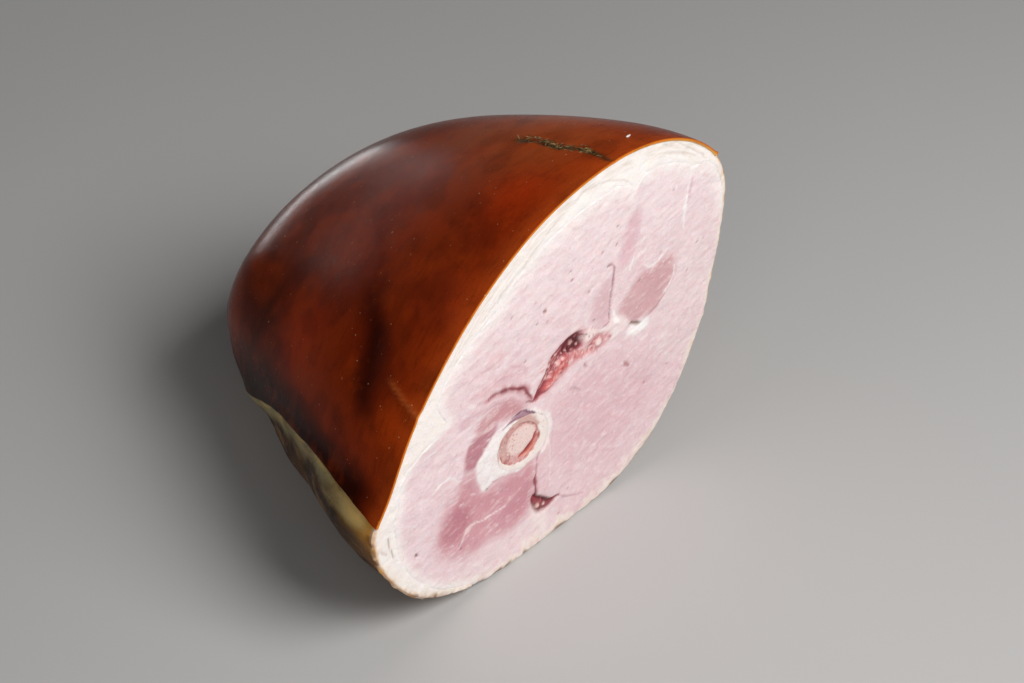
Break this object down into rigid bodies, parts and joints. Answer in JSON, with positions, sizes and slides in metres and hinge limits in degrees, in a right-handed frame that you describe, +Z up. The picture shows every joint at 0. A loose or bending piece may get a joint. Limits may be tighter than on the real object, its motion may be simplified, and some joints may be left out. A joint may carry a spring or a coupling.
{
  "type": "smoked ham",
  "caption": "Half ham on the bone, sawn across the thigh: pink cured lean, a white fat layer under smoked rind, and a ring of bone round its marrow.",
  "frame": {"origin": "centre of the bounding box's base, on the surface that the ham stands on", "axes": "+Z up; -Y the way the upright sawn face looks; +X towards the face's right end as seen from in front of it"},
  "size_m": [0.243, 0.185, 0.1952],
  "materials": {
    "rind_and_fat": "glossy smoked rind over white fat",
    "cured_lean": "moist, fine-grained",
    "bone": "sawn, matt",
    "marrow": "grainy, matt"
  },
  "bodies": {
    "root": {"fat_layer": "rind_and_fat", "lean": "cured_lean", "thigh_bone": "bone", "marrow": "marrow"}
  },
  "joints": []
}
